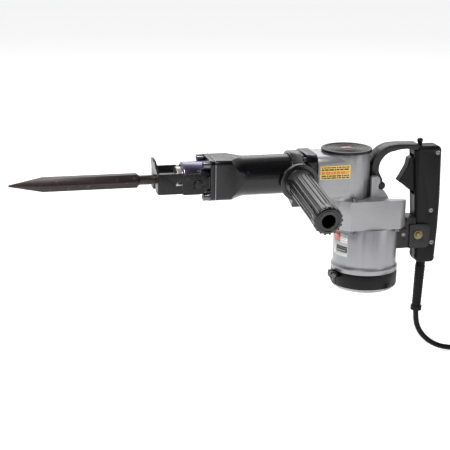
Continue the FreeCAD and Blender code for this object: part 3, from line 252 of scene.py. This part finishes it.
cord_radius = 0.0045
floor_z = -322
low_z = floor_z + 4.5
ROUTE = [
    at(134.3, 0, -239), at(133, 0, -267), at(146, -3, -294),
    at(170, -8, -312), at(201, -13, low_z), at(236, -14.5, low_z),
]
coil_middle = at(272, -84, low_z)
layers, turns_each, steps = 4, 3.5, 18
outer_turn, pitch, layer_rise = 0.0695, 0.0090, 0.0093
climb_turns = 0.3
coil = []
for step in range(int(layers * turns_each * steps) + 1):
    wound = step / steps
    layer, part = divmod(wound, turns_each)
    if layer >= layers:
        layer, part = layers - 1, turns_each
    inwards = part if layer % 2 == 0 else turns_each - part
    climbed = min(max((part - turns_each + climb_turns) / climb_turns, 0), 1)
    climb = climbed if layer < layers - 1 else 0
    reach = outer_turn - pitch * inwards
    angle = math.pi / 2 - 2 * math.pi * wound
    height = layer_rise * (layer + climb)
    coil.append(coil_middle + Vector((reach * math.cos(angle), reach * math.sin(angle), height)))
plug_at = at(351.2, -92, -304.5)
top_layer = layer_rise * 3
lead_reach, lead_height, fall_from = 0.0800, 0.0130, 0.3
lead = []
for step in range(1, 5):
    part = step / 5
    angle = math.pi / 2 * (1 - part)
    reach = outer_turn + (lead_reach - outer_turn) * min(part * 1.7, 1)
    height = top_layer + (lead_height - top_layer) * max(part - fall_from, 0) / (1 - fall_from)
    lead.append(coil_middle + Vector((reach * math.cos(angle), reach * math.sin(angle), height)))
lead += [plug_at + Vector((0, 0.012, 0)), plug_at + Vector((0, -0.004, 0))]

cord_curve = bpy.data.curves.new("mains_cord", "CURVE")
cord_curve.dimensions = "3D"
cord_curve.bevel_depth = cord_radius
cord_curve.bevel_resolution = 5
cord_curve.resolution_u = 4
cord_curve.use_fill_caps = True
line = cord_curve.splines.new("NURBS")
route = ROUTE + coil + lead
line.points.add(len(route) - 1)
for point, place in zip(line.points, route):
    point.co = (*place, 1)
line.order_u = 3
line.use_endpoint_u = True
cord_curve.materials.append(cord_rubber)
cord = bpy.data.objects.new("mains_cord", cord_curve)
scene.collection.objects.link(cord)
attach(cord, "root")
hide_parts("power_cord", "cord_coil")
plug = skin("mains_plug", "root", cord_rubber, edge=0.0012)
pins = skin("plug_pins", "root", pin_brass, edge=0.0008)
tie = skin("coil_tie", "root", strap_plastic, edge=0.0003)


# ---------------------------------------------------------------- cord guard
# Flexible black rubber sleeve on the cord where it leaves the grip, moulded with a bead at its
# lower end and shallow rings that let it bend.


def inputs_of(tree, **kinds):
    """Adds a geometry output and named inputs to a tree, and returns the group input node."""
    tree.interface.new_socket("Geometry", in_out="OUTPUT", socket_type="NodeSocketGeometry")
    for name, kind in kinds.items():
        tree.interface.new_socket(name.replace("_", " "), in_out="INPUT",
                                  socket_type="NodeSocket" + kind)
    return tree.nodes.new("NodeGroupInput")


def close(tree, shapes, material):
    """Ends a tree in real geometry with its material."""
    real = tree.nodes.new("GeometryNodeRealizeInstances")
    painted = tree.nodes.new("GeometryNodeSetMaterial")
    out = tree.nodes.new("NodeGroupOutput")
    tree.links.new(shapes, real.inputs[0])
    tree.links.new(real.outputs[0], painted.inputs["Geometry"])
    tree.links.new(material, painted.inputs["Material"])
    tree.links.new(painted.outputs[0], out.inputs[0])


def grow(tree, name, place, **values):
    """Runs a tree and returns its result as a plain mesh object, moved to its place."""
    host = bpy.data.objects.new(name, bpy.data.meshes.new(name))
    scene.collection.objects.link(host)
    maker = host.modifiers.new("maker", "NODES")
    maker.node_group = tree
    for item in tree.interface.items_tree:
        if item.in_out == "INPUT" and item.name.replace(" ", "_") in values:
            maker[item.identifier] = values[item.name.replace(" ", "_")]
    ready = host.evaluated_get(bpy.context.evaluated_depsgraph_get())
    mesh = bpy.data.meshes.new_from_object(ready)
    host.modifiers.remove(maker)
    host.data = mesh
    mesh.transform(place)
    mesh.shade_smooth()
    mesh.set_sharp_from_angle(angle=math.radians(40))
    return host


rings = bpy.data.node_groups.new("rings_along_a_sleeve", "GeometryNodeTree")
asked = inputs_of(rings, Rings="Int", Spacing="Float", First_radius="Float", Last_radius="Float",
                  Thickness="Float", Material="Material")
row = rings.nodes.new("GeometryNodeMeshLine")
rings.links.new(asked.outputs["Rings"], row.inputs["Count"])
step_by = rings.nodes.new("ShaderNodeCombineXYZ")
rings.links.new(asked.outputs["Spacing"], step_by.inputs["Z"])
rings.links.new(step_by.outputs[0], row.inputs["Offset"])
loop = rings.nodes.new("GeometryNodeCurvePrimitiveCircle")
loop.inputs["Resolution"].default_value = 40
loop.inputs["Radius"].default_value = 1.0
which = rings.nodes.new("GeometryNodeInputIndex")
share = rings.nodes.new("ShaderNodeMath")
share.operation = "DIVIDE"
rings.links.new(which.outputs[0], share.inputs[0])
rings.links.new(asked.outputs["Rings"], share.inputs[1])
radius = rings.nodes.new("ShaderNodeMix")
rings.links.new(share.outputs[0], radius.inputs[0])
rings.links.new(asked.outputs["First radius"], radius.inputs[2])
rings.links.new(asked.outputs["Last radius"], radius.inputs[3])
spread = rings.nodes.new("GeometryNodeInstanceOnPoints")
rings.links.new(row.outputs[0], spread.inputs["Points"])
rings.links.new(loop.outputs[0], spread.inputs["Instance"])
rings.links.new(radius.outputs[0], spread.inputs["Scale"])
real_loops = rings.nodes.new("GeometryNodeRealizeInstances")
rings.links.new(spread.outputs[0], real_loops.inputs[0])
section = rings.nodes.new("GeometryNodeCurvePrimitiveCircle")
section.inputs["Resolution"].default_value = 8
rings.links.new(asked.outputs["Thickness"], section.inputs["Radius"])
sweep = rings.nodes.new("GeometryNodeCurveToMesh")
rings.links.new(real_loops.outputs[0], sweep.inputs["Curve"])
rings.links.new(section.outputs[0], sweep.inputs["Profile Curve"])
close(rings, sweep.outputs[0], asked.outputs["Material"])

skin("cord_guard", "root", cord_rubber, edge=0.0006)
lean = Matrix.Rotation(math.radians(2.6), 4, "Y")
guard_place = Matrix.Translation(ROUTE[0]) @ lean @ Matrix.Translation((0, 0, 0.006))
guard_rings = grow(rings, "cord_guard_rings", guard_place, Rings=13, Spacing=0.0052,
                   First_radius=0.0074, Last_radius=0.0082, Thickness=0.00055,
                   Material=cord_rubber)
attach(guard_rings, "root")


# ---------------------------------------------------------------- chisel
# Forged bull point, a hexagonal bar of dark tool steel drawn out to a point, with a turned neck
# and a ground shank. It is oil-blackened, and the black is rubbed thin in patches.

chisel_steel = finish("chisel_steel", (0.034, 0.025, 0.024), 0.36, metal=0.4, shine=0.3,
                      grain=260, relief=0.25, mottle=0.3,
                      wear=0.35, worn=(0.13, 0.11, 0.10), patch=22)
skin("bull_point", "bit", chisel_steel, edge=0.0006)


# ---------------------------------------------------------------- stirrup retainer
# Bent spring-steel stirrup, blackened and rubbed at its edges, whose notched plate drops over the
# chisel's neck. It swings on two pins with domed heads.

blackened_steel = finish("blackened_steel", (0.014, 0.014, 0.015), 0.30, metal=0.4, shine=0.35,
                         grain=500, relief=0.12, mottle=0.22,
                         wear=0.3, worn=(0.12, 0.12, 0.12), patch=25)
skin("tool_retainer", "retainer", blackened_steel, edge=0.0007)
skin("retainer_pivots", "root", blackened_steel, edge=0.0006)


# ---------------------------------------------------------------- nose
# Turned and ground steel sleeve in the cover, with the hardened hexagonal guide bushing that
# the shank runs in.

nose_steel = finish("nose_steel", (0.16, 0.15, 0.22), 0.25, metal=1.0, grain=1200, relief=0.05,
                    mottle=0.08)
guide_steel = finish("guide_steel", (0.42, 0.41, 0.38), 0.32, metal=0.9, grain=900, relief=0.08,
                     mottle=0.08)
skin("nose_sleeve", "root", nose_steel, edge=0.0006)
skin("tool_bushing", "root", guide_steel, edge=0.0005)


# ---------------------------------------------------------------- barrel and front cover
# Iron castings under satin black enamel that shows the grain of the sand mould. The square
# cover is held by four socket bolts with bright washers, the rear flange by four more.

black_enamel = finish("black_enamel", (0.0030, 0.0030, 0.0036), 0.20, shine=0.42, grain=420,
                      relief=0.6, mottle=0.3,
                      wear=0.12, worn=(0.05, 0.05, 0.052), patch=18)
bolt_steel = finish("bolt_steel", (0.13, 0.13, 0.135), 0.30, metal=1.0, grain=900, relief=0.1,
                    mottle=0.2)
skin("barrel", "root", black_enamel, edge=0.0011)
skin("front_cover", "root", black_enamel, edge=0.0009)
skin("front_cover_bolts", "root", bolt_steel, edge=0.0004)
skin("barrel_bolts", "root", bolt_steel, edge=0.0004)

gasket_steel = finish("gasket_steel", (0.42, 0.43, 0.45), 0.25, metal=1.0, grain=900, relief=0.05)


def frame_plate(name, place_of, half, corner, thickness, hole, material):
    """A thin square plate with round corners and a round hole, facing along X."""
    form = bmesh.new()
    rim = []
    sides = 48
    steep = 10  # how quickly the rim runs from one corner to the next
    for index in range(sides):
        angle = 2 * math.pi * index / sides
        cy, cz = math.cos(angle), math.sin(angle)
        inner = half - corner
        straight = Vector((0, max(-inner, min(inner, cy * steep)),
                           max(-inner, min(inner, cz * steep))))
        rim.append(Vector((0, straight.y + corner * cy, straight.z + corner * cz)))
    outer = [form.verts.new(place) for place in rim]
    inside = [form.verts.new((0, hole * place.y / place.length,
                              hole * place.z / place.length)) for place in rim]
    faces = []
    for index in range(sides):
        after = (index + 1) % sides
        faces.append(form.faces.new((outer[index], outer[after], inside[after], inside[index])))
    grown = bmesh.ops.extrude_face_region(form, geom=faces)
    moved = [part for part in grown["geom"] if isinstance(part, bmesh.types.BMVert)]
    bmesh.ops.translate(form, verts=moved, vec=(thickness, 0, 0))
    bmesh.ops.recalc_face_normals(form, faces=form.faces)
    mesh = bpy.data.meshes.new(name)
    form.to_mesh(mesh)
    form.free()
    mesh.transform(Matrix.Translation(place_of))
    mesh.materials.append(material)
    plate = bpy.data.objects.new(name, mesh)
    scene.collection.objects.link(plate)
    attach(plate, "root")
    return plate


frame_plate("cover_gasket", at(-223.3, 0, 0), half=0.0324, corner=0.0074, thickness=0.0006,
            hole=0.0263, material=gasket_steel)


# ---------------------------------------------------------------- side handle
# Cast clamp round the barrel, and a moulded rubber grip on a stud: a flange, eighteen ribs along
# its length, and an open end with a ribbed lip.

grip_rubber = finish("grip_rubber", (0.0025, 0.0025, 0.0028), 0.24, shine=0.6, grain=800, relief=0.2,
                     mottle=0.25)
clamp_enamel = finish("clamp_enamel", (0.0035, 0.0035, 0.0040), 0.20, shine=0.6, grain=500,
                      relief=0.4, mottle=0.25, wear=0.3, worn=(0.10, 0.10, 0.10))
skin("side_handle_clamp", "side_handle", clamp_enamel, edge=0.0010)
skin("clamp_stud", "side_handle", bolt_steel, edge=0)
skin("grip_flange", "side_grip", grip_rubber, edge=0.0008)
skin("side_grip", "side_grip", grip_rubber, edge=0.0010)

bars = bpy.data.node_groups.new("ribs_round_a_grip", "GeometryNodeTree")
asked = inputs_of(bars, Ribs="Int", Circle="Float", Rib_radius="Float", Length="Float",
                  Material="Material")
circle = bars.nodes.new("GeometryNodeMeshCircle")
bars.links.new(asked.outputs["Ribs"], circle.inputs["Vertices"])
bars.links.new(asked.outputs["Circle"], circle.inputs["Radius"])
rib_line = bars.nodes.new("GeometryNodeCurvePrimitiveLine")
rib_end = bars.nodes.new("ShaderNodeCombineXYZ")
bars.links.new(asked.outputs["Length"], rib_end.inputs["Z"])
bars.links.new(rib_end.outputs[0], rib_line.inputs["End"])
more = bars.nodes.new("GeometryNodeResampleCurve")
more.inputs["Count"].default_value = 12
bars.links.new(rib_line.outputs[0], more.inputs["Curve"])
along = bars.nodes.new("GeometryNodeSplineParameter")
ease = bars.nodes.new("ShaderNodeFloatCurve")
ease.mapping.curves[0].points[0].location = (0, 0.15)
ease.mapping.curves[0].points[1].location = (1, 0.15)
ease.mapping.curves[0].points.new(0.08, 1.0)
ease.mapping.curves[0].points.new(0.92, 1.0)
bars.links.new(along.outputs["Factor"], ease.inputs["Value"])
thin = bars.nodes.new("GeometryNodeSetCurveRadius")
bars.links.new(more.outputs[0], thin.inputs["Curve"])
bars.links.new(ease.outputs[0], thin.inputs["Radius"])
rib_section = bars.nodes.new("GeometryNodeCurvePrimitiveCircle")
rib_section.inputs["Resolution"].default_value = 10
bars.links.new(asked.outputs["Rib radius"], rib_section.inputs["Radius"])
rib_sweep = bars.nodes.new("GeometryNodeCurveToMesh")
rib_sweep.inputs["Fill Caps"].default_value = True
bars.links.new(thin.outputs[0], rib_sweep.inputs["Curve"])
bars.links.new(rib_section.outputs[0], rib_sweep.inputs["Profile Curve"])
around = bars.nodes.new("GeometryNodeInstanceOnPoints")
bars.links.new(circle.outputs[0], around.inputs["Points"])
bars.links.new(rib_sweep.outputs[0], around.inputs["Instance"])
close(bars, around.outputs[0], asked.outputs["Material"])

tip_down = Matrix.Rotation(math.radians(8), 4, "X")
to_the_front = Matrix.Rotation(math.radians(90), 4, "X")
grip_axis = Matrix.Translation(at(-89.5, 0, 0)) @ tip_down @ to_the_front
rib_count = 18
ribs = grow(bars, "grip_ribs", grip_axis @ Matrix.Translation((0, 0, 0.058)), Ribs=rib_count,
            Circle=0.0198, Rib_radius=0.0019, Length=0.129, Material=grip_rubber)
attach(ribs, "side_grip")
lip_ribs = grow(bars, "grip_lip_ribs", grip_axis @ Matrix.Translation((0, 0, 0.1765)), Ribs=rib_count,
                Circle=0.0210, Rib_radius=0.0017, Length=0.017, Material=grip_rubber)
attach(lip_ribs, "side_grip")
end_rings = grow(rings, "grip_end_rings", grip_axis @ Matrix.Translation((0, 0, 0.1938)), Rings=2,
                 Spacing=0.0016, First_radius=0.0150, Last_radius=0.0175, Thickness=0.0006,
                 Material=grip_rubber)
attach(end_rings, "side_grip")


# ---------------------------------------------------------------- crank housing and cap
# Aluminium casting, bead blasted and painted light grey, closed by a black cover that screws
# into its top. The cover has cast rings round a small coloured badge.

grey_casting = finish("grey_casting", (0.30, 0.30, 0.31), 0.32, metal=0.5, grain=520, relief=0.7,
                      mottle=0.14, patch=16)
cap_enamel = finish("cap_enamel", (0.004, 0.004, 0.0045), 0.30, shine=0.3, grain=600, relief=0.35,
                    mottle=0.25)
skin("crank_housing", "root", grey_casting, edge=0.0012)
skin("crank_cap", "root", cap_enamel, edge=0.0008)
skin("cap_seal", "root", cord_rubber, edge=0)
cap_rings = grow(rings, "cap_rings", Matrix.Translation(at(0, 0, 37.55)), Rings=4, Spacing=0.0,
                 First_radius=0.0335, Last_radius=0.0100, Thickness=0.0006, Material=cap_enamel)
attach(cap_rings, "root")


def coloured_bars(name, corner, across, up, lines, colours, ground):
    """A thin flat label with raised plain bars on it, as (left, bottom, right, top, colour)."""
    mesh = bpy.data.meshes.new(name)
    verts, faces, which_paint = [], [], []
    label_lift, bar_lift, sunk = 0.00012, 0.00006, 0.0002
    normal = across.cross(up).normalized()
    for index, (left, bottom, right, top, colour) in enumerate([(0, 0, 1, 1, -1), *lines]):
        lift = normal * (label_lift + bar_lift * (index > 0))
        base = len(verts)
        for u, v in ((left, bottom), (right, bottom), (right, top), (left, top)):
            place = corner + across * u + up * v
            verts.append(place + lift)
            verts.append(place - normal * sunk)
        faces.append((base, base + 2, base + 4, base + 6))
        for side in range(4):
            here, after = base + 2 * side, base + 2 * ((side + 1) % 4)
            faces.append((here, here + 1, after + 1, after))
        which_paint += [colour + 1] * 5
    mesh.from_pydata([tuple(place) for place in verts], [], faces)
    for paint in (ground, *colours):
        mesh.materials.append(paint)
    for face, paint in zip(mesh.polygons, which_paint):
        face.material_index = paint
    label = bpy.data.objects.new(name, mesh)
    scene.collection.objects.link(label)
    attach(label, "root")
    return label


yellow_film = finish("yellow_film", (0.80, 0.52, 0.08), 0.32, grain=300, relief=0.04, mottle=0.15)
orange_film = finish("orange_film", (0.62, 0.20, 0.05), 0.32, grain=300, relief=0.04, mottle=0.2)
dark_ink = finish("dark_ink", (0.05, 0.045, 0.04), 0.4, grain=300, relief=0.04)
pale_ink = finish("pale_ink", (0.45, 0.42, 0.40), 0.4, grain=300, relief=0.04)
badge_red = finish("badge_red", (0.35, 0.035, 0.03), 0.35, grain=400, relief=0.1, mottle=0.3)
coloured_bars("cap_badge", at(-9, -2.6, 38.02), Vector((0.018, 0, 0)), Vector((0, 0.0095, 0)), [
    (0.10, 0.22, 0.26, 0.78, 1), (0.33, 0.22, 0.44, 0.78, 1), (0.50, 0.22, 0.70, 0.45, 1),
    (0.50, 0.55, 0.70, 0.78, 1), (0.77, 0.22, 0.90, 0.78, 1),
], (badge_red, pale_ink), badge_red)
sticker_rows = []
STICKER_LINES = ((0.05, 0.10, 2), (0.20, 0.10, 2), (0.36, 0.22, 1), (0.66, 0.12, 2), (0.84, 0.08, 2))
for row_index, (bottom, height, ink) in enumerate(STICKER_LINES):
    place = 0.04
    gap = 0
    while place < 0.93:
        long = 0.05 + 0.035 * ((row_index * 7 + gap * 5) % 4)
        sticker_rows.append((place, bottom, min(place + long, 0.96), bottom + height, ink - 1))
        place += long + 0.022
        gap += 1
coloured_bars("housing_sticker", at(-55, -38.0, -3.6), Vector((0.050, 0, 0)), Vector((0, 0, 0.0215)),
              sticker_rows, (orange_film, dark_ink), yellow_film)


# ---------------------------------------------------------------- gear housing
# The same grey casting below, carrying the crank's bearings and the motor, with two ears for
# the handle's arch. Hexagon screws hold it to the motor and the crank housing.

skin("gear_housing", "root", grey_casting, edge=0.0016)
skin("gear_housing_screws", "root", bolt_steel, edge=0.0003)


# ---------------------------------------------------------------- motor
# Silver-painted cast motor housing with a flared foot, a black rubber band clamped round it by
# a screw, and an end cover with air holes. The stator, armature, fan and brushes sit inside.

silver_paint = finish("silver_paint", (0.32, 0.32, 0.335), 0.30, metal=0.65, grain=700, relief=0.5,
                      mottle=0.12, patch=12)
band_rubber = finish("band_rubber", (0.002, 0.002, 0.0022), 0.34, shine=0.22, grain=700, relief=0.15,
                     mottle=0.2)
copper_wire = finish("copper_wire", (0.62, 0.30, 0.14), 0.35, metal=0.9, grain=900, relief=0.3)
core_steel = finish("core_steel", (0.35, 0.33, 0.31), 0.45, metal=0.8, grain=400, relief=0.2)
skin("motor_housing", "root", silver_paint, edge=0.0008)
skin("motor_band", "root", band_rubber, edge=0.0006)
skin("band_screw", "root", bolt_steel, edge=0.0004)
skin("motor_end_cover", "root", silver_paint, edge=0.0008)
skin("end_cover_screws", "root", bolt_steel, edge=0.0003)
for inner, body, material in (
    ("stator", "root", core_steel), ("armature_core", "armature", core_steel),
    ("commutator", "armature", copper_wire), ("armature_shaft", "armature", bolt_steel),
    ("cooling_fan", "armature", strap_plastic), ("motor_bearings", "root", bolt_steel),
    ("brush_holders", "root", pin_brass), ("carbon_brushes", "root", core_steel),
):
    skin(inner, body, material, edge=0)

white_film = finish("white_film", (0.72, 0.72, 0.72), 0.3, grain=300, relief=0.04)
red_film = finish("red_film", (0.60, 0.10, 0.05), 0.3, grain=300, relief=0.04, mottle=0.3)
motor_axis = at(37.5, 0, 0)


def curved_label(name, radius, first, last, low, high, ground, lines, colours):
    """A label bent round the motor, with plain bars as (left, bottom, right, top, colour)."""
    mesh = bpy.data.meshes.new(name)
    verts, faces, which_paint = [], [], []
    film_lift, bar_lift, columns_across = 0.00014, 0.00007, 24
    for index, (left, bottom, right, top, colour) in enumerate([(0, 0, 1, 1, -1), *lines]):
        out = radius + film_lift + bar_lift * (index > 0)
        columns = max(2, int((right - left) * columns_across))
        base = len(verts)
        for column in range(columns + 1):
            angle = math.radians(first + (last - first) * (left + (right - left) * column / columns))
            for v in (bottom, top):
                z = low + (high - low) * v
                verts.append((motor_axis.x + out * math.cos(angle), out * math.sin(angle), z))
        for column in range(columns):
            here = base + 2 * column
            faces.append((here, here + 2, here + 3, here + 1))
            which_paint.append(colour + 1)
    mesh.from_pydata(verts, [], faces)
    for paint in (ground, *colours):
        mesh.materials.append(paint)
    for face, paint in zip(mesh.polygons, which_paint):
        face.material_index = paint
    mesh.shade_smooth()
    label = bpy.data.objects.new(name, mesh)
    scene.collection.objects.link(label)
    thick = label.modifiers.new("thickness", "SOLIDIFY")
    thick.thickness = 0.00025
    thick.offset = -1
    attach(label, "root")
    return label


grey_film = finish("grey_film", (0.42, 0.43, 0.44), 0.35, grain=300, relief=0.04)
rating_lines = [
    (0.04, 0.60, 0.55, 0.96, 1), (0.10, 0.78, 0.40, 0.84, 0), (0.58, 0.60, 0.97, 0.96, 0),
    (0.60, 0.66, 0.94, 0.69, 2), (0.60, 0.74, 0.90, 0.77, 2), (0.60, 0.82, 0.94, 0.85, 2),
    (0.30, 0.38, 0.97, 0.46, 2), (0.30, 0.06, 0.97, 0.20, 0), (0.30, 0.22, 0.97, 0.37, 2),
    (0.36, 0.10, 0.80, 0.12, 2), (0.36, 0.27, 0.88, 0.31, 0), (0.05, 0.08, 0.24, 0.50, 0),
]
curved_label("rating_plate", radius=0.0522, first=178, last=219, low=at(0, 0, -139).z,
             high=at(0, 0, -97).z, ground=grey_film, lines=rating_lines,
             colours=(white_film, red_film, dark_ink))


# ---------------------------------------------------------------- rear handle
# Cast arch in charcoal enamel, and a grip moulded in two halves of near-black nylon that close
# round the switch. Below, a cast bracket holds the grip through a rubber bush.

charcoal_enamel = finish("charcoal_enamel", (0.010, 0.0105, 0.011), 0.32, shine=0.35, grain=500,
                         relief=0.3, mottle=0.2)
grip_nylon = finish("grip_nylon", (0.0030, 0.0030, 0.0036), 0.42, shine=0.22, grain=900, relief=0.22,
                    mottle=0.2)
bright_screw = finish("bright_screw", (0.20, 0.19, 0.17), 0.24, metal=1.0, grain=900, relief=0.08)
yellow_zinc = finish("yellow_zinc", (0.21, 0.17, 0.085), 0.30, metal=1.0, grain=700, relief=0.1,
                     mottle=0.2)
skin("handle_arch", "root", charcoal_enamel, edge=0.0022)
skin("arch_bolt", "root", blackened_steel, edge=0.0008)
skin("grip_left", "root", grip_nylon, edge=0.0005)
skin("grip_right", "root", grip_nylon, edge=0.0005)
skin("grip_screws", "root", bright_screw, edge=0.0003)
skin("lower_bracket", "root", charcoal_enamel, edge=0.0010)
skin("bracket_screws", "root", bright_screw, edge=0.0004)
skin("damper_bolt", "root", yellow_zinc, edge=0.0004)
skin("damper_bush", "root", band_rubber, edge=0)
skin("switch_body", "root", strap_plastic, edge=0)


# ---------------------------------------------------------------- trigger and lock button
# Smooth moulded black nylon trigger that the fingers pull, and the small button that locks it.
# Both stand out of the grip, and each moves on its own.

trigger_nylon = finish("trigger_nylon", (0.0025, 0.0025, 0.0028), 0.38, shine=0.22, grain=1000,
                       relief=0.15, mottle=0.2)
skin("trigger", "trigger", trigger_nylon, edge=0.0005)
skin("lock_button", "lock", trigger_nylon, edge=0.0005)


# ---------------------------------------------------------------- air hammer and crank
# Ground steel pieces inside the castings: piston, striker, impact bolt, crank, rod and gear.

ground_steel = finish("ground_steel", (0.60, 0.61, 0.63), 0.22, metal=1.0, grain=1500, relief=0.05)
for inner, body in (
    ("piston", "piston"), ("striker", "striker"), ("impact_bolt", "impact"),
    ("crankshaft", "crank"), ("crank_gear", "crank"), ("connecting_rod", "rod"),
    ("wrist_pin", "rod"), ("cylinder_liner", "root"), ("impact_bolt_guide", "root"),
    ("crank_bearings", "root"),
):
    skin(inner, body, ground_steel, edge=0)
skin("damper_ring", "root", cord_rubber, edge=0)
